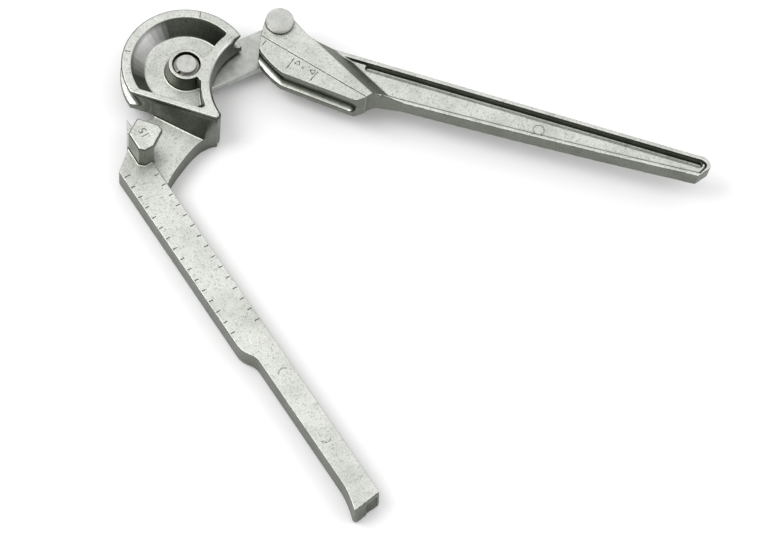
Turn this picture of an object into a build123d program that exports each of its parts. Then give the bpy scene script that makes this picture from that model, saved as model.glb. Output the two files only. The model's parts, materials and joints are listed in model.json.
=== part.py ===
from build123d import *
import os
from math import acos, atan2, cos, degrees, pi, radians, sin, sqrt

# Two-handled tube bender, millimetres, +Z up.
# Origin: the bending axis (main pivot) at the level of the casting's underside.
# The fixed handle runs along -Y, the round former faces +Y.

# ---- tube and bend ---------------------------------------------------------
tube_diameter = 15.0
groove_play = 0.1            # groove radius over tube radius
bend_radius = 50.0           # to the tube's centre line
tube_level = 30.0            # height of the tube's centre line

# ---- levels ----------------------------------------------------------------
former_top = 39.0
former_underside = 17.0      # the link runs below this
arm_top = 20.0
shelf_top = 18.0
hook_top = 43.0
pocket_depth = 12.0

# ---- former plan -----------------------------------------------------------
rim_width = 8.0              # top width of the round rim
pocket_wall_run = 10.5       # how far the round pocket wall leans in
straight_rim_width = 6.0
web_width = 8.0
hub_radius = 13.5
hub_foot_radius = 16.5
lip_chamfer = 1.6
tip_x = -4.0                 # lower point of the former
tip_drop = 5.0               # lower point below the hollow side's start
tip_radius = 4.0
pocket_corner_radius = 3.0
pocket_foot = 11.5           # pocket's lower edge above the hollow side's start

# ---- fixed arm plan --------------------------------------------------------
arm_gap = 10.5               # from the tube's leg to the arm's near side
ruler_width = 25.5
grip_width = 18.5
arm_head_y = -45.0
step_start_y = -213.0
step_end_y = -232.0
flare_start_y = -338.0
arm_end_y = -363.0
flare = 4.5
arm_wall = 3.4
arm_roof = 4.5
rib_count = 6
rib_width = 2.4
arm_hollow_start_y = -82.0
arm_foot_chamfer = 1.6
end_notch_width = 10.0
end_notch_height = 14.5
end_notch_depth = 2.8
end_notch_from_side = 7.0
end_lean = 3.5               # the end face leans out by this much at the foot
end_corner_radius = 2.5

# ---- ruler and angle marks -------------------------------------------------
tick_pitch = 10.0
tick_count = 16
tick_start_y = -51.5
tick_length = 3.2
long_tick_length = 5.5
mark_width = 0.6
mark_depth = 0.35

# ---- tube hook -------------------------------------------------------------
hook_gap = 0.7               # between the hook's post and the tube
hook_lip_gap = 0.5           # between the hook's lip and the tube

# ---- main pivot ------------------------------------------------------------
pivot_radius = 7.9
running_clearance = 0.05
bush_wall = 2.05
bush_top = 35.0
counterbore_step = 0.7
pivot_top = 40.0
pivot_foot_radius = 12.0
ring_thickness = 1.2
ring_groove_depth = 0.9
ring_outer_radius = 9.3
ring_gap = 3.0
ring_lift = 0.4              # ring above the bush

# ---- link ------------------------------------------------------------------
link_length = 80.0
link_width = 30.0
link_bottom = 8.0
link_thickness = 7.0
link_rest_angle = -4.3
link_side_gap = 1.6          # between the link's edge and the casting
axial_gap = 0.15

# ---- handle pin ------------------------------------------------------------
handle_pin_radius = 6.0
handle_pin_head_radius = 10.7
handle_pin_head_height = 3.7
head_washer_thickness = 1.0
handle_pin_rivet_radius = 8.5
handle_pin_rivet_height = 3.5
handle_bush_wall = 2.0

# ---- moving handle (own frame: +X along the grip, pin at the origin) ---------
handle_rest_angle = -50.6
head_bottom = 17.5
head_top = 42.0
boss_radius = 11.5
grip_bottom = 23.0
grip_top = 36.0
grip_length = 347.0
web_top = 33.5
under_recess_top = 27.0
grip_rim = 2.2
under_rim = 3.2
channel_width = 5.6
channel_bottom = 29.3
ramp_run = 12.0
neck_start = 84.0
neck_end = 110.0

# ---- slide shoe ------------------------------------------------------------
nose_groove_offset = 2.6     # tube centre line in front of the nose's lips
front_groove_offset = 2.0    # the same along the long front
shoe_mark_width = 0.5
screw_radius = 2.5
screw_head_radius = 4.25
screw_head_height = 5.0
screw_thread_depth = 8.0
screw_head_play = 0.4
dowel_radius = 2.0
dowel_length = 12.0
dowel_level = 20.0

groove_radius = tube_diameter / 2 + groove_play
arm_right = -(bend_radius + arm_gap)
tip_y = -(bend_radius + tip_drop)
pocket_low_y = -(bend_radius - pocket_foot)
bush_radius = pivot_radius + running_clearance + bush_wall
handle_bush_radius = handle_pin_radius + running_clearance + handle_bush_wall
link_top = link_bottom + link_thickness
arm_left = arm_right - ruler_width
grip_left = arm_right - grip_width
hook_face_x = -(bend_radius + tube_diameter / 2 + hook_gap)
pin_x = link_length * cos(radians(link_rest_angle))
pin_y = link_length * sin(radians(link_rest_angle))


def prism(outline, low, high):
    """Solid between two levels over a closed list of plan points."""
    return Pos(0, 0, low) * extrude(make_face(Polyline(*outline, close=True)), amount=high - low)


def ring(outer, inner, low, high):
    body = Pos(0, 0, low) * extrude(Circle(outer) - Circle(inner), amount=high - low)
    return body


def disc(radius, low, high, x=0.0, y=0.0):
    return Pos(x, y, low) * extrude(Circle(radius), amount=high - low)


def at_handle_pin(shape):
    """Moves a shape from the handle's own frame to its place at rest."""
    return Pos(pin_x, pin_y, 0) * Rot(0, 0, handle_rest_angle) * shape


# ---- fixed handle ----------------------------------------------------------
def former_outline():
    """Half disc, straight lower-left side and a hollow right side."""
    over_top = ThreePointArc((bend_radius, 0), (0, bend_radius), (-bend_radius, 0))
    straight = Line((-bend_radius, 0), (tip_x, tip_y))
    toe = Line((tip_x, tip_y), (0, -bend_radius))
    diagonal = bend_radius * (1 - sqrt(0.5))
    hollow = ThreePointArc((0, -bend_radius), (diagonal, -diagonal), (bend_radius, 0))
    face = make_face([over_top, straight, toe, hollow])
    corner = face.vertices().sort_by(Axis.Y)[0]
    return fillet(corner, tip_radius)


def straight_side_normal():
    run_x = tip_x + bend_radius
    run_y = tip_y
    length = sqrt(run_x ** 2 + run_y ** 2)
    return -run_y / length, run_x / length


def pocket_plan():
    """Pocket outline at the former's top."""
    top_radius = bend_radius - rim_width
    web_radius = bend_radius + web_width
    normal_x, normal_y = straight_side_normal()
    inset_x = -bend_radius + straight_rim_width * normal_x
    inset_y = straight_rim_width * normal_y
    distance = inset_x * normal_x + inset_y * normal_y
    half_chord = sqrt(top_radius ** 2 - distance ** 2)
    left = (distance * normal_x - half_chord * normal_y, distance * normal_y + half_chord * normal_x)
    low_left = (inset_x + (pocket_low_y - inset_y) * -normal_y / normal_x, pocket_low_y)
    low_right = (bend_radius - sqrt(web_radius ** 2 - (pocket_low_y + bend_radius) ** 2), pocket_low_y)
    centre_gap = sqrt(2) * bend_radius
    squares = centre_gap ** 2 + top_radius ** 2 - web_radius ** 2
    spread = acos(squares / (2 * centre_gap * top_radius))
    right = (top_radius * cos(spread - pi / 4), top_radius * sin(spread - pi / 4))
    web_middle = bend_radius - web_radius * sqrt(0.5)
    rim_side = ThreePointArc(right, (0, top_radius), left)
    web_side = ThreePointArc(low_right, (web_middle, -web_middle), right)
    face = make_face([rim_side, Line(left, low_left), Line(low_left, low_right), web_side])
    low_corners = face.vertices().sort_by(Axis.Y)[0:2]
    face = fillet(low_corners, 1.6)
    side_corners = face.vertices().filter_by(lambda corner: abs(corner.X) > 0.8 * top_radius)
    return fillet(side_corners, pocket_corner_radius)


def former_pocket():
    """Round-bottomed pocket between rim, straight side and hollow side."""
    floor = former_top - pocket_depth
    height = pocket_depth + 1
    block = Pos(0, 0, floor) * extrude(pocket_plan(), amount=height)
    slope = pocket_wall_run / pocket_depth
    top_radius = bend_radius - rim_width
    funnel = Pos(0, 0, floor + height / 2) * Cone(top_radius - pocket_wall_run, top_radius + slope, height)
    hub_slope = (hub_foot_radius - hub_radius) / pocket_depth
    hub = Pos(0, 0, floor + height / 2) * Cone(hub_foot_radius, hub_radius - hub_slope, height)
    return (block & funnel) - hub - hub_bridge()


def on_former(*points):
    """Plan points given as fractions of the bend radius."""
    return [(x * bend_radius, y * bend_radius) for x, y in points]


def hub_bridge():
    """Solid metal between the hub and the hollow side."""
    outline = on_former(
        (0.39, -0.024), (0.24, -0.032), (0.032, -0.24), (0.02, -0.33), (0.16, -0.48), (0.48, -0.16))
    return prism(outline, former_top - pocket_depth - 1, former_top + 2)


def side_wedge():
    """Lower wall of the former that spreads towards the shelf's front."""
    foot = on_former(
        (-0.80, -0.25), (-0.412, -0.95), (-0.34, -1.068), (-0.104, -1.106), (-0.10, -1.0), (-0.60, -0.32))
    crown = on_former(
        (-0.772, -0.276), (-0.264, -0.884), (-0.196, -0.964),
        (-0.096, -1.088), (-0.092, -1.0), (-0.60, -0.32))
    low = Pos(0, 0, shelf_top - 0.5) * make_face(Polyline(*foot, close=True))
    high = Pos(0, 0, former_top - 3.0) * make_face(Polyline(*crown, close=True))
    return loft([low, high], ruled=True)


def tube_groove():
    """Half-round groove round the former with straight run-outs at both ends."""
    half_turn = Pos(0, 0, tube_level) * Torus(bend_radius, groove_radius)
    lower_half = Pos(0, -bend_radius - 20, tube_level) * Box(
        4 * bend_radius, 2 * bend_radius + 40, 4 * groove_radius)
    run_out = Cylinder(groove_radius, 2 * bend_radius, rotation=(90, 0, 0))
    left = Pos(-bend_radius, -bend_radius, tube_level) * run_out
    right = Pos(bend_radius, -bend_radius, tube_level) * run_out
    return (half_turn - lower_half) + left + right


def former_body():
    body = Pos(0, 0, former_underside) * extrude(former_outline(), amount=former_top - former_underside)
    top_rim = body.faces().sort_by(Axis.Z)[-1].outer_wire().edges()
    body = chamfer(top_rim, lip_chamfer)
    return body


def shelf_front():
    """Wavy front edge of the shelf between the arm and the former's point."""
    return Spline(
        (arm_right - 1, tip_y - 18.5), (-1.04 * bend_radius, tip_y - 11.5),
        (-0.78 * bend_radius, tip_y - 5.0), (-0.60 * bend_radius, tip_y - 1.2),
        (-0.44 * bend_radius, tip_y + 1.2),
        (-0.24 * bend_radius, tip_y + 1.8), (tip_x - 1.0, tip_y - 0.2))


def lower_body():
    """Foot below the former and shelf under the tube's straight leg."""
    back_y = -link_width / 2 - link_side_gap
    keep = Pos(0, back_y - 60) * Rectangle(240, 120)
    foot = extrude(former_outline() & keep, amount=former_underside)
    side = Polyline(
        (tip_x - 1.0, tip_y - 0.2), (tip_x - 4.0, tip_y + 10.0), (-28, back_y), (arm_right - 1, back_y),
        (arm_right - 1, tip_y - 18.5))
    top = Pos(0, 0, shelf_top) * make_face([shelf_front(), side])
    shelf = extrude(top, amount=-shelf_top)
    return foot + shelf


def arm_outline(inset=0.0):
    left = arm_left + inset
    right = arm_right - inset
    grip = grip_left + inset
    middle_y = (step_start_y + step_end_y) / 2
    shoulder = Spline(
        (left, step_start_y), ((left + grip) / 2, middle_y), (grip, step_end_y),
        tangents=((0, -1), (0, -1)))
    flare_curve = Spline(
        (grip, flare_start_y), (grip - flare, arm_end_y + inset),
        tangents=((0, -1), (-0.35, -1)))
    start = [(grip, step_end_y), (grip, flare_start_y)]
    return shoulder, Line(*start), flare_curve, left, right, grip


def fixed_arm():
    shoulder, grip_line, flare_curve, left, right, grip = arm_outline()
    end = Polyline(
        (grip - flare, arm_end_y), (grip - flare - 0.35 * end_lean, arm_end_y - end_lean),
        (right, arm_end_y + 3 - end_lean))
    back = Polyline(
        (right, arm_end_y + 3 - end_lean), (right, -40), (right + 2.7, -22), (right + 2.7, -9),
        (right - 11.5, -33.5), (left, arm_head_y), (left, step_start_y))
    body = extrude(make_face([shoulder, grip_line, flare_curve, end, back]), amount=arm_top)
    body = fillet(body.edges().filter_by(Axis.Z).sort_by(Axis.Y)[:2], end_corner_radius)
    body = chamfer(body.faces().sort_by(Axis.Z)[0].outer_wire().edges(), arm_foot_chamfer)
    clear_y = -link_width / 2 - link_side_gap
    under_link = Pos(0, clear_y + 50, former_underside / 2 - 5) * Box(260, 100, former_underside + 10)
    body -= under_link
    return body - beyond_end()


def beyond_end():
    """Space past the arm's leaning end face."""
    across = arm_right - grip_left + flare
    lean = [
        (end_lean / arm_top, arm_top + 1), (-end_lean - end_lean / arm_top, -1),
        (-20, -1), (-20, arm_top + 1)]
    profile = Plane.YZ * make_face(Polyline(*lean, close=True))
    wedge = extrude(profile, amount=2 * across, both=True)
    return Pos(grip_left - flare, arm_end_y, 0) * Rot(0, 0, degrees(atan2(3, across))) * wedge


def arm_hollow():
    """Underside pocket of the arm, left solid at the ribs."""
    shoulder, _, _, left, right, grip = arm_outline(arm_wall)
    stop_y = arm_end_y + 3 + arm_wall
    end = Line((grip, stop_y), (right, stop_y))
    grip_side = Line((grip, step_end_y), (grip, stop_y))
    back = Polyline(
        (right, stop_y), (right, arm_hollow_start_y), (left, arm_hollow_start_y), (left, step_start_y))
    pocket = Pos(0, 0, -1) * extrude(
        make_face([shoulder, grip_side, end, back]), amount=arm_top - arm_roof + 1)
    span = arm_hollow_start_y - stop_y
    for index in range(1, rib_count + 1):
        rib_y = arm_hollow_start_y - span * index / (rib_count + 1)
        pocket -= Pos((left + right) / 2, rib_y, arm_top / 2) * Box(2 * ruler_width, rib_width, 2 * arm_top)
    return pocket


def end_notch():
    lean_there = end_lean * (1 - end_notch_height / arm_top)
    slope = [
        (-9, -1), (0.3 - end_lean, -1), (end_notch_depth - lean_there, end_notch_height),
        (-9, end_notch_height)]
    profile = Plane.YZ * make_face(Polyline(*slope, close=True))
    cutter = extrude(profile, amount=end_notch_width / 2, both=True)
    return Pos(arm_right - end_notch_from_side, arm_end_y + 2.0, 0) * cutter


def hook():
    """Post beside the tube with a lip that reaches over it."""
    leg_x = -bend_radius
    foot = [
        (hook_face_x, -24.5), (leg_x - 19.8, -31.5), (leg_x - 20.2, -47.2), (leg_x - 16.5, -50.6),
        (hook_face_x, -50.2)]
    post = prism(foot, arm_top - 1, hook_top)
    lip_bottom = tube_level + tube_diameter / 2 + hook_lip_gap - 1.5
    cap = [
        (leg_x - 7.1, -23.5), (leg_x + 3.2, -36.3), (leg_x + 3.8, -41.8), (leg_x - 8.8, -50.2),
        (leg_x - 16.5, -49.2), (leg_x - 19.0, -46.4), (leg_x - 19.0, -31.0)]
    lip = prism(cap, lip_bottom, hook_top)
    body = post + lip
    leg = Cylinder(tube_diameter / 2 + hook_lip_gap, 200, rotation=(90, 0, 0))
    body -= Pos(leg_x, -60, tube_level) * leg
    body = chamfer(body.faces().sort_by(Axis.Z)[-1].outer_wire().edges(), 0.9)
    return body


def ruler_marks():
    """Shallow graduations at both edges of the arm."""
    marks = []
    level = arm_top + 0.5 - mark_depth
    for index in range(tick_count):
        length = long_tick_length if index == 0 else tick_length
        y = tick_start_y - tick_pitch * index
        marks.append(Pos(arm_left + 1.2 + length / 2, y, level) * Box(length, mark_width, 1))
        if index > 0:
            marks.append(Pos(arm_right - 1.2 - length / 2, y, level) * Box(length, mark_width, 1))
    return marks


def angle_marks():
    """Radial marks on the rim's top every 45 degrees."""
    marks = []
    for index in range(1, 4):
        turn = Rot(0, 0, 45 * index)
        middle = bend_radius - rim_width / 2 - 0.4
        marks.append(turn * Pos(middle, 0, former_top + 0.5 - mark_depth) * Box(4.4, mark_width, 1))
    return marks


def make_fixed_handle():
    body = former_body() + lower_body() + fixed_arm()
    body += side_wedge()
    body += hook()
    body -= tube_groove()
    body -= former_pocket()
    body -= arm_hollow()
    body -= end_notch()
    body -= disc(bush_radius, former_underside - 1, bush_top)
    body -= disc(bush_radius + counterbore_step, bush_top, former_top + 1)
    for mark in ruler_marks() + angle_marks():
        body -= mark
    return body


# ---- main pivot ------------------------------------------------------------
def make_pivot_bush():
    return ring(bush_radius, pivot_radius + running_clearance, former_underside, bush_top)


def make_pivot_pin():
    body = disc(pivot_foot_radius, 0, link_bottom)
    body = chamfer(body.faces().sort_by(Axis.Z)[0].edges(), 1.0)
    shank = disc(pivot_radius, link_bottom, pivot_top)
    shank = chamfer(shank.faces().sort_by(Axis.Z)[-1].edges(), 0.5)
    body += shank
    groove_low = bush_top + ring_lift
    groove_high = groove_low + ring_thickness
    body -= ring(pivot_radius + 1, pivot_radius - ring_groove_depth, groove_low, groove_high)
    body -= Pos(0, 0, pivot_top) * Cone(0.1, 1.0, 0.9)
    return body


def make_pivot_ring():
    low = bush_top + ring_lift
    body = ring(ring_outer_radius, pivot_radius - ring_groove_depth, low, low + ring_thickness)
    cutter = Box(2 * ring_outer_radius, ring_gap, 4 * ring_thickness)
    gap = Rot(0, 0, 200) * Pos(ring_outer_radius, 0, low) * cutter
    return body - gap


def make_pivot_washer():
    return ring(hub_radius, pivot_radius + 0.2, link_top, former_underside - axial_gap)


# ---- link ------------------------------------------------------------------
def make_link_plate():
    plate = Pos(link_length / 2, 0, link_bottom) * extrude(
        SlotOverall(link_length + link_width, link_width), amount=link_thickness)
    plate = chamfer(plate.faces().sort_by(Axis.Z)[-1].edges(), 0.5)
    plate = chamfer(plate.faces().sort_by(Axis.Z)[0].edges(), 0.5)
    plate -= disc(pivot_radius, link_bottom - 1, link_top + 1)
    plate -= disc(handle_pin_radius, link_bottom - 1, link_top + 1, link_length)
    return Rot(0, 0, link_rest_angle) * plate


# ---- handle pin ------------------------------------------------------------
def make_handle_pin():
    head_low = head_top + axial_gap + head_washer_thickness
    body = disc(handle_pin_rivet_radius, link_bottom - handle_pin_rivet_height, link_bottom)
    body = chamfer(body.faces().sort_by(Axis.Z)[0].edges(), 1.2)
    body += disc(handle_pin_radius, link_bottom, head_low)
    head = disc(handle_pin_head_radius, head_low, head_low + handle_pin_head_height)
    head = chamfer(head.faces().sort_by(Axis.Z)[-1].edges(), 0.7)
    return Pos(pin_x, pin_y, 0) * (body + head)


def make_handle_pin_washer():
    low = head_top + axial_gap
    body = ring(handle_pin_head_radius - 0.5, handle_pin_radius + 0.2, low, low + head_washer_thickness)
    return Pos(pin_x, pin_y, 0) * body


def make_handle_thrust_washer():
    body = ring(boss_radius - 0.5, handle_pin_radius + 0.2, link_top, head_bottom - axial_gap)
    return Pos(pin_x, pin_y, 0) * body


def make_handle_bush():
    body = ring(handle_bush_radius, handle_pin_radius + running_clearance, head_bottom, head_top)
    return Pos(pin_x, pin_y, 0) * body


# ---- moving handle ---------------------------------------------------------
part_start = (-10.0, -15.7)      # seat line between shoe and handle
part_end = (82.6, -40.0)
ramp_start = (30.1, -5.6)        # upper edge of the ramp behind the head
ramp_end = (82.6, -33.9)
near_start = (91.0, -33.4)
near_middle = (200.0, -27.0)
near_end = (340.0, -16.0)
far_start = (48.0, -4.6)
far_end = (336.0, 1.6)


def seat_angle():
    return degrees(atan2(part_end[1] - part_start[1], part_end[0] - part_start[0]))


def along_seat(distance, shape):
    """Places a shape on the seat line, its +X towards the shoe."""
    angle = seat_angle()
    x = part_start[0] + distance * cos(radians(angle))
    y = part_start[1] + distance * sin(radians(angle))
    return Pos(x, y, 0) * Rot(0, 0, angle - 90) * shape


def grip_outline(inset=0.0):
    """Tapered grip with a rounded end."""
    near = ThreePointArc(
        (near_start[0], near_start[1] + inset),
        (near_middle[0], near_middle[1] + inset),
        (near_end[0], near_end[1] + inset))
    nose = Polyline(
        (near_end[0], near_end[1] + inset),
        (grip_length - inset, -6.0),
        (grip_length - inset, -4.0))
    tip = ThreePointArc(
        (grip_length - inset, -4.0),
        (grip_length - inset - 3.2, 0.4 - inset * 0.7),
        (far_end[0], far_end[1] - inset))
    far = Line((far_end[0], far_end[1] - inset), (far_start[0] + inset, far_start[1] - inset))
    return near, nose, tip, far


def handle_plan():
    near, nose, tip, far = grip_outline()
    shoulder = Polyline(far_start, (32.0, -5.4), (24.5, -3.4), (9.2, 6.9))
    crown = ThreePointArc((9.2, 6.9), (-4.0, 10.8), (-11.45, 1.0))
    cheek = Polyline((-11.45, 1.0), part_start, part_end)
    neck = ThreePointArc(part_end, (86.0, -35.6), near_start)
    return make_face([near, nose, tip, far, shoulder, crown, cheek, neck])


def side_profile():
    """Height envelope of the handle along its length."""
    points = [
        (-40, head_bottom), (neck_start, head_bottom), (neck_end, grip_bottom),
        (grip_length + 20, grip_bottom), (grip_length + 20, grip_top), (neck_end, grip_top),
        (neck_start + 2, head_top), (-40, head_top)]
    face = Plane.XZ * make_face(Polyline(*points, close=True))
    return extrude(face, amount=60, both=True)


def ramp_frame():
    """Frame on the ramp's upper edge: +X along it towards the near side, +Y down the ramp."""
    angle = degrees(atan2(ramp_end[1] - ramp_start[1], ramp_end[0] - ramp_start[0]))
    return Pos(ramp_start[0], ramp_start[1], 0) * Rot(0, 0, angle)


def beyond_ramp():
    """Air above the ramp and above the grip's recessed floor."""
    far_side = 500
    section = [
        (0, head_top), (ramp_run, web_top), (far_side, web_top),
        (far_side, head_top + 2), (0, head_top + 2)]
    cutter = extrude(Plane.YZ * make_face(Polyline(*section, close=True)), amount=700)
    return ramp_frame() * Pos(-200, 0, 0) * cutter


def rim_inside():
    """Air between the rims, with leaning walls."""
    inset = grip_rim + 2.2
    near, nose, tip, far = grip_outline(inset)
    far_corner = (far_start[0] + inset, far_start[1] - inset)
    near_corner = (near_start[0], near_start[1] + inset)
    close = Polyline(far_corner, (26.0, -9.5), (82.0, -37.5 + inset), (85.5, -33.6 + inset), near_corner)
    face = make_face([near, nose, tip, far, close])
    return Pos(0, 0, web_top) * extrude(face, amount=head_top - web_top + 2, taper=-30)


def rims():
    """Rims beside the grip's floor; the near one climbs to the head's corner."""
    blank = Pos(0, 0, web_top - 1) * extrude(handle_plan(), amount=head_top - web_top + 1)
    blank &= side_profile()
    blank -= rim_inside()
    beyond = ramp_frame() * Pos(150, 250 + ramp_run / 2, head_top / 2) * Box(700, 500, 2 * head_top)
    blank &= beyond
    low = blank & Pos(170, 0, grip_top / 2) * Box(500, 200, grip_top)
    neck = blank & Pos(neck_end - 25, -50, head_top / 2) * Box(80, 50, 2 * head_top)
    return low + neck


def under_recess():
    near, nose, tip, far = grip_outline(under_rim)
    start_x = neck_end + 4
    close = Line(
        (far_start[0] + under_rim, far_start[1] - under_rim),
        (near_start[0], near_start[1] + under_rim))
    body = Pos(0, 0, grip_bottom - 1) * extrude(
        make_face([near, nose, tip, far, close]), amount=under_recess_top - grip_bottom + 1)
    keep = Pos(start_x + 150, 0, 0) * Box(300, 120, 120)
    return body & keep


def grip_channel():
    """Round-ended channel beside the far rim."""
    angle = degrees(atan2(far_end[1] - far_start[1], far_end[0] - far_start[0]))
    length = 268.0
    slot = extrude(SlotOverall(length, channel_width), amount=10)
    slot = fillet(slot.faces().sort_by(Axis.Z)[0].edges(), 1.4)
    return Pos(75.0, -10.2, channel_bottom) * Rot(0, 0, angle) * Pos(length / 2 - 2, 0, 0) * slot


def shoe_screw_stations():
    """Distance along the seat and grip depth behind it for each screw."""
    return [(35.0, 20.5), (60.0, 26.6)]


def screw_shape(depth, play=0.0):
    """Screw along +X, its thread end past the seat plane at X = 0."""
    head_at = -(depth - screw_head_height - 1.0)
    shank_length = screw_thread_depth - head_at
    shank = Pos(head_at + shank_length / 2, 0, tube_level) * Cylinder(
        screw_radius, shank_length, rotation=(0, 90, 0))
    head_length = screw_head_height + (20 if play else 0)
    head = Pos(head_at - head_length / 2, 0, tube_level) * Cylinder(
        screw_head_radius + play, head_length, rotation=(0, 90, 0))
    return shank + head


def screw_bodies():
    socket = extrude(RegularPolygon(2.3, 6), amount=2.6)
    bodies = []
    for distance, depth in shoe_screw_stations():
        head_face = -(depth - screw_head_height - 1.0) - screw_head_height
        recess = Pos(head_face, 0, tube_level) * Rot(0, 90, 0) * socket
        bodies.append(along_seat(distance, screw_shape(depth) - recess))
    return bodies


def dowel_bodies():
    bodies = []
    for distance in (14.0, 72.0):
        pin = Pos(1.0, 0, dowel_level) * Cylinder(dowel_radius, dowel_length, rotation=(0, 90, 0))
        bodies.append(along_seat(distance, pin))
    return bodies


def make_moving_handle():
    body = Pos(0, 0, head_bottom) * extrude(handle_plan(), amount=head_top - head_bottom)
    body &= side_profile()
    body -= beyond_ramp()
    body += rims()
    body -= under_recess()
    body -= grip_channel()
    body -= disc(handle_bush_radius, head_bottom - 1, head_top + 1)
    for distance, depth in shoe_screw_stations():
        body -= along_seat(distance, screw_shape(depth, screw_head_play))
    for dowel in dowel_bodies():
        body -= dowel
    return at_handle_pin(body)


# ---- slide shoe ------------------------------------------------------------
nose_start = (-7.5, -27.6)
nose_end = (15.7, -41.9)
front_end = (75.8, -46.0)


def shoe_outline():
    cheek = Polyline(part_end, part_start, nose_start)
    nose = ThreePointArc(nose_start, (3.0, -35.6), nose_end)
    front = Polyline(nose_end, front_end, part_end)
    face = make_face([cheek, nose, front])
    rounded = face.vertices().filter_by(
        lambda v: (v.X, v.Y) != part_start and v.Y > front_end[1] - 1 and abs(v.X - front_end[0]) < 0.5)
    return fillet(rounded, 3.0)


def groove_leg(start, end, offset, extend_start, extend_end):
    """Tube-sized rod in front of one side of the shoe."""
    run_x = end[0] - start[0]
    run_y = end[1] - start[1]
    length = sqrt(run_x ** 2 + run_y ** 2)
    angle = degrees(atan2(run_y, run_x))
    rod_length = length + extend_start + extend_end
    rod = Cylinder(groove_radius, rod_length, rotation=(0, 90, 0))
    middle = rod_length / 2 - extend_start
    return Pos(start[0], start[1], tube_level) * Rot(0, 0, angle) * Pos(middle, -offset, 0) * rod


def shoe_groove():
    nose_leg = groove_leg(nose_start, nose_end, nose_groove_offset, 12, 4)
    front_leg = groove_leg(nose_end, front_end, front_groove_offset, 3, -6)
    angle = degrees(atan2(front_end[1] - nose_end[1], front_end[0] - nose_end[0]))
    length = sqrt((front_end[0] - nose_end[0]) ** 2 + (front_end[1] - nose_end[1]) ** 2)
    closed_end = Pos(nose_end[0], nose_end[1], tube_level) * Rot(0, 0, angle) * Pos(
        length - 6, -front_groove_offset, 0) * Sphere(groove_radius)
    return nose_leg + front_leg + closed_end


def shoe_marks():
    """Alignment lines, triangles and a dot on the shoe's top."""
    level = head_top + 0.5 - mark_depth
    marks = []
    lines = [
        ((17.5, -37.3), (20.3, -26.5)), ((37.7, -41.3), (40.9, -31.5)), ((-5.9, -23.2), (-4.7, -18.9))]
    for start, end in lines:
        run_x = end[0] - start[0]
        run_y = end[1] - start[1]
        length = sqrt(run_x ** 2 + run_y ** 2)
        angle = degrees(atan2(run_y, run_x))
        marks.append(
            Pos((start[0] + end[0]) / 2, (start[1] + end[1]) / 2, level)
            * Rot(0, 0, angle) * Box(length, shoe_mark_width, 1))
    for x, y, turn in ((24.0, -29.4, 75), (36.0, -34.2, 165)):
        outer = Triangle(a=5.0, b=5.0, c=5.0)
        inner = Triangle(a=3.2, b=3.2, c=3.2)
        marks.append(Pos(x, y, level - 0.5) * Rot(0, 0, turn) * extrude(outer - inner, amount=1))
    marks.append(Pos(28.9, -32.0, level) * Cylinder(0.55, 1))
    return marks


def make_slide_shoe():
    body = Pos(0, 0, head_bottom) * extrude(shoe_outline(), amount=head_top - head_bottom)
    body -= shoe_groove()
    for mark in shoe_marks():
        body -= mark
    for distance, depth in shoe_screw_stations():
        body -= along_seat(distance, screw_shape(depth, screw_head_play))
    for dowel in dowel_bodies():
        body -= dowel
    return at_handle_pin(body)


def make_shoe_screws():
    return Compound(children=[at_handle_pin(body) for body in screw_bodies()])


def make_shoe_dowels():
    return Compound(children=[at_handle_pin(body) for body in dowel_bodies()])


pieces = {
    "fixed_handle": make_fixed_handle(),
    "pivot_bush": make_pivot_bush(),
    "pivot_pin": make_pivot_pin(),
    "pivot_retaining_ring": make_pivot_ring(),
    "pivot_thrust_washer": make_pivot_washer(),
    "link_plate": make_link_plate(),
    "handle_pin": make_handle_pin(),
    "handle_pin_washer": make_handle_pin_washer(),
    "handle_thrust_washer": make_handle_thrust_washer(),
    "handle_bush": make_handle_bush(),
    "moving_handle": make_moving_handle(),
    "slide_shoe": make_slide_shoe(),
    "shoe_screws": make_shoe_screws(),
    "shoe_dowels": make_shoe_dowels(),
}

os.makedirs("parts", exist_ok=True)
for node, shape in pieces.items():
    export_step(shape, "parts/" + node + ".step")
    print(node, round(shape.volume, 1))
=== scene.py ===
import json
import math

import bmesh
import bpy
from mathutils import Matrix, Vector


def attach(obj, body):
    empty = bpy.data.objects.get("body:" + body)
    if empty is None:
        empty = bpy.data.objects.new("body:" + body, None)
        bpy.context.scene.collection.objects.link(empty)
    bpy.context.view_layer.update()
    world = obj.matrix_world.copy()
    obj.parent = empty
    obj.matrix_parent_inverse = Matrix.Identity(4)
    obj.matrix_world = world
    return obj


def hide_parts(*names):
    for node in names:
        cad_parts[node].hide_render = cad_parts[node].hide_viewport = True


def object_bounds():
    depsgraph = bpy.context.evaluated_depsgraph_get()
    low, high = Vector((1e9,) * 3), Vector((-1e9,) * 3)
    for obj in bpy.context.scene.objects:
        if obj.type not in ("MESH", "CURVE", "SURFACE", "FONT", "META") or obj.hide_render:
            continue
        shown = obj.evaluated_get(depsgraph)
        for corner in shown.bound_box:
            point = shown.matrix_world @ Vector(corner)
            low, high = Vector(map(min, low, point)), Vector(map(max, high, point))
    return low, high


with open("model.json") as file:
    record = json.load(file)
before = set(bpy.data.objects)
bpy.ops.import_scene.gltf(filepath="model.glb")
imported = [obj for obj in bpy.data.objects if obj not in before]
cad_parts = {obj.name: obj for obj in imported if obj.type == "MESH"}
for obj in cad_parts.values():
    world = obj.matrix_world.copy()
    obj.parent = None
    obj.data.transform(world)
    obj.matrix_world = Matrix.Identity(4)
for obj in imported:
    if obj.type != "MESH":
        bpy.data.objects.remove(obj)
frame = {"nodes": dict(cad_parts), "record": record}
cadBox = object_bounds()
mm = 0.001
print("frame loaded")


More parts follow.
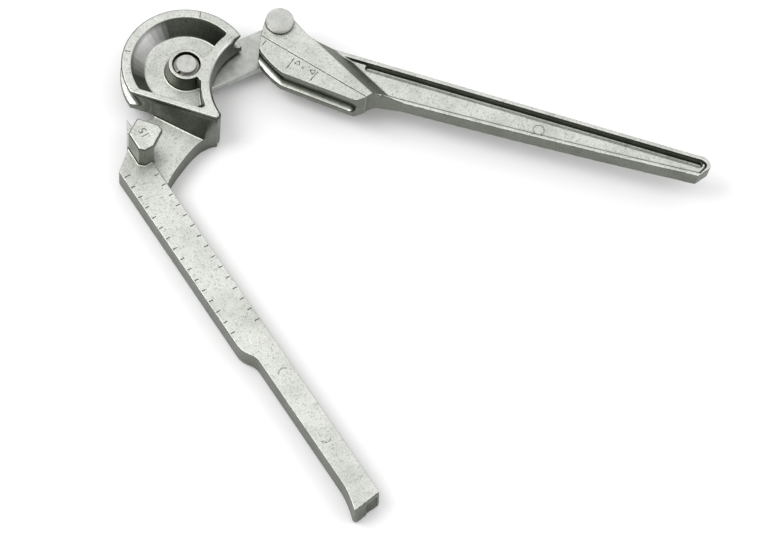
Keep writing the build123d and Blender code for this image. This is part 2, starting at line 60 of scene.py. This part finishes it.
class Nodes:
    # one material's node tree; the shading methods return the socket to link on from
    def __init__(self, name):
        self.mat = bpy.data.materials.new(name)
        self.mat.use_nodes = True
        self.tree = self.mat.node_tree
        self.tree.nodes.clear()
        self.coords = self.tree.nodes.new("ShaderNodeTexCoord").outputs["Object"]

    def add(self, kind, **values):
        node = self.tree.nodes.new(kind)
        for key, value in values.items():
            setattr(node, key, value)
        return node

    def link(self, a, b):
        self.tree.links.new(a, b)

    def noise(self, scale, detail, rough=0.55):
        node = self.add("ShaderNodeTexNoise")
        node.inputs["Scale"].default_value = scale
        node.inputs["Detail"].default_value = detail
        node.inputs["Roughness"].default_value = rough
        self.link(self.coords, node.inputs["Vector"])
        return node.outputs["Fac"]

    def ramp(self, source, stops):
        node = self.add("ShaderNodeValToRGB")
        ramp = node.color_ramp
        while len(ramp.elements) < len(stops):
            ramp.elements.new(0.5)
        for element, (place, shade) in zip(ramp.elements, stops):
            element.position = place
            element.color = (*shade, 1.0) if isinstance(shade, tuple) else (shade, shade, shade, 1.0)
        self.link(source, node.inputs["Fac"])
        return node.outputs["Color"]

    def mix(self, fac, a, b, blend="MIX"):
        node = self.add("ShaderNodeMix", data_type="RGBA", blend_type=blend)
        for socket, value in ((node.inputs[0], fac), (node.inputs[6], a), (node.inputs[7], b)):
            if isinstance(value, (int, float)):
                socket.default_value = value
            elif isinstance(value, tuple):
                socket.default_value = (*value, 1.0)
            else:
                self.link(value, socket)
        return node.outputs[2]

    def math(self, operation, a, b):
        node = self.add("ShaderNodeMath", operation=operation)
        for socket, value in ((node.inputs[0], a), (node.inputs[1], b)):
            if isinstance(value, (int, float)):
                socket.default_value = value
            else:
                self.link(value, socket)
        return node.outputs[0]

    def bump(self, height, strength, distance, below=None):
        node = self.add("ShaderNodeBump")
        node.inputs["Strength"].default_value = strength
        node.inputs["Distance"].default_value = distance
        self.link(height, node.inputs["Height"])
        if below is not None:
            self.link(below, node.inputs["Normal"])
        return node.outputs["Normal"]

    def edge(self, radius):
        # how far the surface turns away within a short reach: bright on worn edges
        bevel = self.add("ShaderNodeBevel", samples=4)
        bevel.inputs["Radius"].default_value = radius
        geometry = self.add("ShaderNodeNewGeometry")
        dot = self.add("ShaderNodeVectorMath", operation="DOT_PRODUCT")
        self.link(bevel.outputs["Normal"], dot.inputs[0])
        self.link(geometry.outputs["Normal"], dot.inputs[1])
        return self.math("SUBTRACT", 1.0, dot.outputs["Value"])

    def hollow(self, distance):
        # 1 in the open, falling towards 0 in creases and recesses of about this reach
        node = self.add("ShaderNodeAmbientOcclusion", samples=4)
        node.inputs["Distance"].default_value = distance
        return node.outputs["AO"]

    def surface(self, colour, roughness, normal, metallic=1.0, specular=0.5):
        shader = self.add("ShaderNodeBsdfPrincipled")
        out = self.add("ShaderNodeOutputMaterial")
        self.link(colour, shader.inputs["Base Color"])
        self.link(roughness, shader.inputs["Roughness"])
        self.link(normal, shader.inputs["Normal"])
        shader.inputs["Metallic"].default_value = metallic
        shader.inputs["Specular IOR Level"].default_value = specular
        self.link(shader.outputs["BSDF"], out.inputs["Surface"])
        return self.mat


castLook = {
    "light": (0.73, 0.745, 0.70),
    "dark": (0.43, 0.445, 0.405),
    "edgeShade": (0.95, 0.95, 0.93),
    # painted shade: colour that darkens narrow creases
    "paintedCreaseShade": (0.09, 0.092, 0.085),
    # painted shade by facing: sides, rounded edges and slopes darker than the flats
    "paintedSideShade": (0.27, 0.28, 0.255),
    "paintedCornerShade": (0.045, 0.047, 0.04),
    "paintedSlopeShade": (0.27, 0.28, 0.255),
    # painted shade: colour that darkens wider recesses
    "paintedCavityShade": (0.45, 0.45, 0.43),
    "roughLow": 0.30,
    "roughHigh": 0.48,
    "wornRough": (0.24, 0.24, 0.24),
    "grain": 1100.0,
    "flecks": 520.0,
    "pores": 230.0,
    "patches": 38.0,
    "creaseReach": 0.0022,
    "cavityReach": 0.016,
    "edgeReach": 0.0009,
    "openReach": 0.002,
    "wornShare": 0.35,
    "grainRise": 0.00016,
    "fleckRise": 0.0003,
    "patchRise": 0.0008,
}
glintLook = {
    "glintFacing": (0.53, -0.848, 0.0),  # the way the painted highlight on the pocket wall faces
    # painted highlight colour, and painted shade colour for the far side
    "paintedGlint": (0.95, 0.95, 0.94),
    "paintedDullShade": (0.30, 0.30, 0.28),
    "pocketInside": 0.0405,
    "pocketOutside": 0.0415,
}
white = (1.0, 1.0, 1.0)


def paintedGlintWall(n, geometry, height, tone, look):
    # the pocket's sloping walls: a painted highlight on the side that faces one way, painted shade on the
    # side facing away
    def inPlan(source):
        node = n.add("ShaderNodeVectorMath", operation="MULTIPLY")
        n.link(geometry.outputs[source], node.inputs[0])
        node.inputs[1].default_value = (1.0, 1.0, 0.0)
        return node.outputs["Vector"]

    unit = n.add("ShaderNodeVectorMath", operation="NORMALIZE")
    n.link(inPlan("Normal"), unit.inputs[0])
    dot = n.add("ShaderNodeVectorMath", operation="DOT_PRODUCT")
    n.link(unit.outputs["Vector"], dot.inputs[0])
    dot.inputs[1].default_value = look["glintFacing"]
    facing = n.math("ADD", n.math("MULTIPLY", dot.outputs["Value"], 0.5), 0.5)
    reach = n.add("ShaderNodeVectorMath", operation="LENGTH")
    n.link(inPlan("Position"), reach.inputs[0])
    inside = n.ramp(reach.outputs["Value"], [(look["pocketInside"], 1.0), (look["pocketOutside"], 0.0)])
    sloping = n.ramp(height, [(0.30, 0.0), (0.40, 1.0), (0.82, 1.0), (0.90, 0.0)])
    band = n.math("MULTIPLY", inside, sloping)
    # painted shade where the wall faces away
    wallShade = n.ramp(facing, [(0.38, look["paintedDullShade"]), (0.80, white)])
    tone = n.mix(band, tone, n.mix(1.0, tone, wallShade, "MULTIPLY"))
    # painted highlight where the wall faces the given way
    glintMask = n.ramp(facing, [(0.88, 0.0), (0.97, 0.6), (0.99, 1.0)])
    return n.mix(n.math("MULTIPLY", glintMask, band), tone, look["paintedGlint"])


def castAluminium(name, look):
    n = Nodes(name)
    patches = n.noise(look["patches"], 5.0, 0.62)
    grain = n.noise(look["grain"], 2.0, 0.7)
    flecks = n.noise(look["flecks"], 5.0, 0.75)
    pores = n.noise(look["pores"], 6.0, 0.8)
    tone = n.ramp(patches, [(0.32, look["dark"]), (0.56, look["light"])])
    tone = n.mix(0.5, tone, n.ramp(grain, [(0.38, look["dark"]), (0.58, look["light"])]))
    speck = n.ramp(flecks, [(0.33, 0.30), (0.46, 1.0)])
    tone = n.mix(0.7, tone, speck, "MULTIPLY")
    pitted = n.ramp(pores, [(0.28, 0.25), (0.34, 1.0)])
    tone = n.mix(0.55, tone, pitted, "MULTIPLY")
    # painted shade by facing: standing walls, rounded edges and slopes are darkened and the flats left
    # bright, as the light falls on them
    geometry = n.add("ShaderNodeNewGeometry")
    split = n.add("ShaderNodeSeparateXYZ")
    n.link(geometry.outputs["Normal"], split.inputs[0])
    facingShade = n.ramp(split.outputs["Z"], [
        (0.25, look["paintedSideShade"]), (0.55, look["paintedCornerShade"]), (0.80, look["paintedSlopeShade"]), (0.96, white)])
    tone = n.mix(1.0, tone, facingShade, "MULTIPLY")
    # painted shade: darker in creases and in wider recesses, where shade falls
    creaseShade = n.ramp(n.hollow(look["creaseReach"]), [(0.35, look["paintedCreaseShade"]), (0.88, white)])
    recessShade = n.ramp(n.hollow(look["cavityReach"]), [(0.15, look["paintedCavityShade"]), (0.75, white)])
    tone = n.mix(0.85, tone, creaseShade, "MULTIPLY")
    tone = n.mix(0.75, tone, recessShade, "MULTIPLY")
    # painted highlight and painted shade on the pocket's sloping walls
    if "glintFacing" in look:
        tone = paintedGlintWall(n, geometry, split.outputs["Z"], tone, look)
    worn = n.ramp(n.edge(look["edgeReach"]), [(0.02, 0.0), (0.12, 1.0)])
    broken = n.ramp(flecks, [(0.38, 0.15), (0.52, 1.0)])
    worn = n.math("MULTIPLY", worn, broken)
    worn = n.math("MULTIPLY", worn, n.ramp(n.hollow(look["openReach"]), [(0.45, 0.0), (0.8, 1.0)]))
    tone = n.mix(n.math("MULTIPLY", worn, look["wornShare"]), tone, look["edgeShade"])
    rough = n.ramp(grain, [(0.3, look["roughLow"]), (0.7, look["roughHigh"])])
    rough = n.mix(n.math("MULTIPLY", worn, 0.6), rough, look["wornRough"])
    normal = n.bump(grain, 0.35, look["grainRise"])
    normal = n.bump(flecks, 0.35, look["fleckRise"], normal)
    normal = n.bump(patches, 0.30, look["patchRise"], normal)
    return n.surface(tone, rough, normal)


turnedLook = {
    "grain": 2200.0,
    "grainRise": 0.0001,
    "clouds": 160.0,
    "edgeReach": 0.0005,
    "edgeShade": (0.85, 0.85, 0.83),
    "creaseReach": 0.003,
    # painted shade: colour that darkens creases
    "paintedCreaseShade": (0.05, 0.05, 0.045),
    "rough": (0.25, 0.42),
    "dullRough": (0.28, 0.45),
    "bronzeRough": (0.35, 0.5),
}


def turnedSteel(name, light, dark, finish="rough"):
    look = turnedLook
    n = Nodes(name)
    marks = n.noise(look["grain"], 2.0, 0.5)
    cloud = n.noise(look["clouds"], 4.0, 0.6)
    tone = n.ramp(cloud, [(0.3, dark), (0.65, light)])
    tone = n.mix(0.35, tone, n.ramp(marks, [(0.3, 0.45), (0.6, 1.0)]), "MULTIPLY")
    worn = n.ramp(n.edge(look["edgeReach"]), [(0.015, 0.0), (0.14, 1.0)])
    tone = n.mix(n.math("MULTIPLY", worn, 0.7), tone, look["edgeShade"])
    # painted shade: darker in creases
    creaseShade = n.ramp(n.hollow(look["creaseReach"]), [(0.25, look["paintedCreaseShade"]), (0.85, white)])
    tone = n.mix(0.8, tone, creaseShade, "MULTIPLY")
    smooth, coarse = look[finish]
    roughness = n.ramp(marks, [(0.3, smooth), (0.7, coarse)])
    normal = n.bump(marks, 0.2, look["grainRise"])
    return n.surface(tone, roughness, normal)


materials = {
    "cast_body": castAluminium("castBody", dict(castLook, **glintLook)),
    "cast_shoe": castAluminium("castShoe", dict(castLook, light=(0.70, 0.715, 0.67))),
    "link_steel": turnedSteel("linkSteel", (0.60, 0.62, 0.585), (0.44, 0.455, 0.425), "dullRough"),
    "pin_steel": turnedSteel("pinSteel", (0.66, 0.67, 0.635), (0.50, 0.505, 0.475)),
    "spring_steel": turnedSteel("springSteel", (0.50, 0.505, 0.48), (0.36, 0.36, 0.34)),
    "screw_steel": turnedSteel("screwSteel", (0.32, 0.32, 0.33), (0.16, 0.16, 0.17)),
    "bush": turnedSteel("bushBronze", (0.62, 0.48, 0.28), (0.42, 0.31, 0.18), "bronzeRough"),
}
slotOf = {entry["node"]: entry["material_slot"] for entry in frame["record"]["subparts"]}
for nodeName, slotName in slotOf.items():
    node = frame["nodes"][nodeName]
    node.data.materials.clear()
    node.data.materials.append(materials[slotName])
print("materials made")


class Cutter:
    # gathers the shapes that are cut out of one casting; sizes in mm
    def __init__(self):
        self.bm = bmesh.new()

    def bar(self, start, end, level, width, depth):
        # a straight groove between two plan points
        run = Vector((end[0] - start[0], end[1] - start[1], 0))
        middle = Vector(((start[0] + end[0]) / 2, (start[1] + end[1]) / 2, level))
        turn = Matrix.Rotation(math.atan2(run.y, run.x), 4, "Z")
        size = Matrix.Diagonal((run.length * mm, width * mm, 2 * depth * mm, 1))
        bmesh.ops.create_cube(self.bm, size=1, matrix=Matrix.Translation(middle * mm) @ turn @ size)

    def ring(self, centre, radius, level, width, depth, start=0.0, sweep=360.0, steps=40):
        # a round groove, or part of one
        rows = []
        closed = sweep >= 360
        count = steps + (0 if closed else 1)
        for index in range(count):
            angle = math.radians(start + sweep * index / steps)
            row = []
            inner = radius - width / 2
            outer = radius + width / 2
            for r, z in ((inner, -depth), (outer, -depth), (outer, depth), (inner, depth)):
                place = (centre[0] + r * math.cos(angle), centre[1] + r * math.sin(angle), level + z)
                row.append(self.bm.verts.new(Vector(place) * mm))
            rows.append(row)
        pairs = list(zip(rows, rows[1:]))
        if closed:
            pairs.append((rows[-1], rows[0]))
        for first, second in pairs:
            for k in range(4):
                self.bm.faces.new((first[k], first[(k + 1) % 4], second[(k + 1) % 4], second[k]))
        if not closed:
            self.bm.faces.new(rows[0][::-1])
            self.bm.faces.new(rows[-1])

    def solid(self, name):
        bmesh.ops.recalc_face_normals(self.bm, faces=self.bm.faces)
        mesh = bpy.data.meshes.new(name)
        self.bm.to_mesh(mesh)
        self.bm.free()
        cutter = bpy.data.objects.new(name, mesh)
        bpy.context.scene.collection.objects.link(cutter)
        return cutter


def baked(obj):
    # the object's mesh with its modifiers applied
    bpy.context.view_layer.update()
    return bpy.data.meshes.new_from_object(obj.evaluated_get(bpy.context.evaluated_depsgraph_get()))


numeralLook = {
    "text": "15",
    "place": (-59.2, -37.2),
    "height": 6.3,
    "sizeForHeight": 1.38,  # a digit stands lower than its letter size
    "turn": 90,
    "depth": 0.45,
    "thinning": 0.05,
}


def numeral(look, level):
    curve = bpy.data.curves.new("sizeNumeral", "FONT")
    curve.body = look["text"]
    curve.size = look["height"] * look["sizeForHeight"] * mm
    curve.extrude = look["depth"] * mm
    curve.resolution_u = 4
    curve.offset = -look["thinning"] * mm
    curve.align_x = "CENTER"
    curve.align_y = "CENTER"
    holder = bpy.data.objects.new("sizeNumeral", curve)
    bpy.context.scene.collection.objects.link(holder)
    mesh = baked(holder)
    turn = Matrix.Rotation(math.radians(look["turn"]), 4, "Z")
    mesh.transform(Matrix.Translation(Vector((*look["place"], level)) * mm) @ turn)
    bpy.data.objects.remove(holder)
    cutter = bpy.data.objects.new("numeralCutter", mesh)
    bpy.context.scene.collection.objects.link(cutter)
    return cutter


def castPiece(nodeName, pieceName, body, look, cutters):
    # a cast skin over the machined shape: every edge and corner gets a small radius
    piece = bpy.data.objects.new(pieceName, frame["nodes"][nodeName].data.copy())
    bpy.context.scene.collection.objects.link(piece)
    remesh = piece.modifiers.new("skin", "REMESH")
    remesh.mode = "VOXEL"
    remesh.voxel_size = look["voxel"] * mm
    remesh.use_smooth_shade = True
    soften = piece.modifiers.new("soften", "SMOOTH")
    soften.factor = 0.5
    soften.iterations = look["soften"]
    for cutter in cutters:
        cut = piece.modifiers.new("cut", "BOOLEAN")
        cut.operation = "DIFFERENCE"
        cut.solver = "FAST"
        cut.object = cutter
    mesh = baked(piece)
    piece.modifiers.clear()
    piece.data = mesh
    mesh.name = pieceName
    for cutter in cutters:
        bpy.data.objects.remove(cutter)
    mesh.materials.clear()
    mesh.materials.append(materials[slotOf[nodeName]])
    for face in mesh.polygons:
        face.use_smooth = True
        face.material_index = 0
    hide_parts(nodeName)
    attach(piece, body)
    print(pieceName, len(mesh.polygons), "faces")


# places and sizes in mm, in plan from the pivot
fixedLook = {
    "voxel": 0.5,
    "soften": 3,
    "rulerStart": -51.5,
    "rulerPitch": 10.0,
    "rulerTicks": 16,
    "rulerLeft": -85.0,
    "rulerRight": -61.4,
    "tickLength": 3.2,
    "firstTick": 5.2,
    "tickWidth": 0.6,
    "tickDepth": 0.55,
    "armTop": 20.0,
    "formerTop": 39.0,
    "rimMarks": (45, 90, 135, 180),
    "rimMarkInner": 43.2,
    "rimMarkOuter": 47.6,
    "rimMarkWidth": 0.5,
    "rimMarkDepth": 0.4,
    "ejectorRings": (
        {"centre": (-71.0, -214.5), "radius": 5.6, "width": 0.35, "depth": 0.3, "start": 150, "sweep": 200},
        {"centre": (-68.5, -248.0), "radius": 4.2, "width": 0.3, "depth": 0.25, "start": 30, "sweep": 130},
        {"centre": (-70.5, -305.0), "radius": 4.0, "width": 0.3, "depth": 0.22, "start": 200, "sweep": 120},
    ),
    "hookTop": 43.0,
}


def fixedMarks(look):
    marks = Cutter()
    left = look["rulerLeft"]
    right = look["rulerRight"]
    tick = (look["armTop"], look["tickWidth"], look["tickDepth"])
    for index in range(look["rulerTicks"]):
        y = look["rulerStart"] - look["rulerPitch"] * index
        length = look["firstTick"] if index == 0 else look["tickLength"]
        marks.bar((left, y), (left + length, y), *tick)
        if index > 0:
            marks.bar((right - length, y), (right, y), *tick)
    for angle in look["rimMarks"]:
        outward = Vector((math.cos(math.radians(angle)), math.sin(math.radians(angle))))
        marks.bar(outward * look["rimMarkInner"], outward * look["rimMarkOuter"],
                  look["formerTop"], look["rimMarkWidth"], look["rimMarkDepth"])
    for ring in look["ejectorRings"]:
        marks.ring(level=look["armTop"], **ring)
    return marks.solid("fixedMarks")


castPiece("fixed_handle", "fixedHandleCasting", "fixed", fixedLook, [
    fixedMarks(fixedLook),
    numeral(numeralLook, fixedLook["hookTop"]),
])


# sizes in mm; other points are measured from the handle's pin, along the handle
handleLook = {
    "voxel": 0.5,
    "soften": 3,
    "pin": (79.775, -5.998),  # in plan from the pivot, at rest
    "turn": -50.6,
    "floor": 33.5,
    "headTop": 42.0,
    "partingWidth": 0.5,
    "partingDepth": 1.2,
    "ejectorRings": (
        {"centre": (103.0, -24.0), "radius": 5.4, "width": 0.35, "depth": 0.3},
        {"centre": (214.0, -17.5), "radius": 4.2, "width": 0.3, "depth": 0.25},
    ),
}
shoeLook = {
    "voxel": 0.4,
    "soften": 3,
    "lines": (
        ((17.5, -37.3), (20.3, -26.5)), ((37.7, -41.3), (40.9, -31.5)), ((-5.9, -23.2), (-4.7, -18.9))),
    "lineWidth": 0.55,
    "triangles": (((24.3, -29.6), 75), ((37.4, -32.9), 165)),
    "triangleSize": 2.6,
    "triangleWidth": 0.5,
    "cornerGap": 0.1,  # share of a side left clear at each end
    "dot": (28.9, -32.0),
    "dotRadius": 0.4,
    "dotWidth": 0.7,
    "dotDepth": 0.6,
    "seat": ((-10.6, -15.54), (83.2, -40.16)),
}


def onHandle(point):
    # from the handle's own frame to the plan at rest
    turn = math.radians(handleLook["turn"])
    along = math.cos(turn)
    across = math.sin(turn)
    return (handleLook["pin"][0] + point[0] * along - point[1] * across,
            handleLook["pin"][1] + point[0] * across + point[1] * along)


def partingLine(marks):
    start, end = shoeLook["seat"]
    marks.bar(onHandle(start), onHandle(end), handleLook["headTop"],
              handleLook["partingWidth"], handleLook["partingDepth"])


def handleMarks(look):
    marks = Cutter()
    partingLine(marks)
    for ring in look["ejectorRings"]:
        marks.ring(**dict(ring, centre=onHandle(ring["centre"]), level=look["floor"]))
    return marks.solid("handleMarks")


def shoeMarks(look):
    marks = Cutter()
    level = handleLook["headTop"]
    for start, end in look["lines"]:
        marks.bar(onHandle(start), onHandle(end), level, look["lineWidth"], look["lineWidth"])
    for centre, turn in look["triangles"]:
        corners = []
        for k in range(3):
            angle = math.radians(turn + 120 * k)
            reach = Vector((math.cos(angle), math.sin(angle))) * look["triangleSize"]
            corners.append(Vector(centre) + reach)
        gap = look["cornerGap"]
        for a, b in zip(corners, corners[1:] + corners[:1]):
            marks.bar(onHandle(a.lerp(b, gap)), onHandle(a.lerp(b, 1 - gap)), level,
                      look["triangleWidth"], look["triangleWidth"])
    marks.ring(onHandle(look["dot"]), look["dotRadius"], level,
               look["dotWidth"], look["dotDepth"], steps=12)
    partingLine(marks)
    return marks.solid("shoeMarks")


castPiece("moving_handle", "movingHandleCasting", "handle", handleLook, [handleMarks(handleLook)])
castPiece("slide_shoe", "slideShoeCasting", "handle", shoeLook, [shoeMarks(shoeLook)])
print("castings made")


studio = {
    "floorSize": 9.0,
    "floorGap": 0.0002,
    "floorCloud": 6.0,
    "floorShade": (0.86, 0.86, 0.86),
    "floorLight": (0.88, 0.88, 0.88),
    "worldTop": 1.1,
    "worldSide": 0.5,
    "aim": (0, -0.1, 0),
    "keyLight": {"place": (-0.9, 0.5, 1.5), "size": 1.2, "power": 16.0},
    "fillLight": {"place": (0.9, -0.9, 1.2), "size": 1.0, "power": 3.0},
}


def makeFloor():
    mesh = bpy.data.meshes.new("floor")
    half = studio["floorSize"] / 2
    corners = [(-half, -half, 0), (half, -half, 0), (half, half, 0), (-half, half, 0)]
    mesh.from_pydata(corners, [], [(0, 1, 2, 3)])
    floor = bpy.data.objects.new("floor", mesh)
    bpy.context.scene.collection.objects.link(floor)
    floor.location.z = cadBox[0][2] - studio["floorGap"]
    n = Nodes("floorWhite")
    cloud = n.noise(studio["floorCloud"], 2.0)
    tone = n.ramp(cloud, [(0.0, studio["floorShade"]), (1.0, studio["floorLight"])])
    rough = n.ramp(cloud, [(0.0, 0.8), (1.0, 0.9)])
    mesh.materials.append(n.surface(tone, rough, n.bump(cloud, 0.02, 0.0001), 0.0, 0.1))


def makeWorld():
    world = bpy.data.worlds.new("studio")
    bpy.context.scene.world = world
    world.use_nodes = True
    tree = world.node_tree
    tree.nodes.clear()
    coords = tree.nodes.new("ShaderNodeTexCoord")
    split = tree.nodes.new("ShaderNodeSeparateXYZ")
    ramp = tree.nodes.new("ShaderNodeValToRGB")
    background = tree.nodes.new("ShaderNodeBackground")
    out = tree.nodes.new("ShaderNodeOutputWorld")
    side = studio["worldSide"]
    top = studio["worldTop"]
    ramp.color_ramp.elements[0].position = 0.15
    ramp.color_ramp.elements[0].color = (side, side, side, 1)
    ramp.color_ramp.elements[1].position = 0.8
    ramp.color_ramp.elements[1].color = (top, top, top, 1)
    tree.links.new(coords.outputs["Generated"], split.inputs[0])
    tree.links.new(split.outputs["Z"], ramp.inputs["Fac"])
    tree.links.new(ramp.outputs["Color"], background.inputs["Color"])
    tree.links.new(background.outputs[0], out.inputs["Surface"])


def makeLight(name):
    lampLook = studio[name]
    data = bpy.data.lights.new(name, "AREA")
    data.shape = "DISK"
    data.size = lampLook["size"]
    data.energy = lampLook["power"]
    lamp = bpy.data.objects.new(name, data)
    lamp.location = lampLook["place"]
    toAim = Vector(studio["aim"]) - Vector(lampLook["place"])
    lamp.rotation_euler = toAim.to_track_quat("-Z", "Y").to_euler()
    bpy.context.scene.collection.objects.link(lamp)


cameraSetup = {
    "place": (-0.50097, -0.77546, 1.54718),
    "right": (0.82874, -0.55170, 0.09390),
    "up": (0.46191, 0.76907, 0.44179),
    "lens": 106.85,
}


def makeCamera():
    data = bpy.data.cameras.new("camera")
    data.lens = cameraSetup["lens"]
    data.sensor_width = 36.0
    data.sensor_fit = "HORIZONTAL"
    data.clip_start = 0.05
    data.clip_end = 50.0
    camera = bpy.data.objects.new("camera", data)
    right = Vector(cameraSetup["right"]).normalized()
    up = Vector(cameraSetup["up"]).normalized()
    back = right.cross(up).normalized()
    up = back.cross(right)
    turn = Matrix((right, up, back)).transposed().to_4x4()
    camera.matrix_world = Matrix.Translation(cameraSetup["place"]) @ turn
    bpy.context.scene.collection.objects.link(camera)
    bpy.context.scene.camera = camera


makeFloor()
makeWorld()
makeLight("keyLight")
makeLight("fillLight")
makeCamera()
scene = bpy.context.scene
scene.view_settings.view_transform = "Standard"
scene.view_settings.look = "None"
print("studio made")
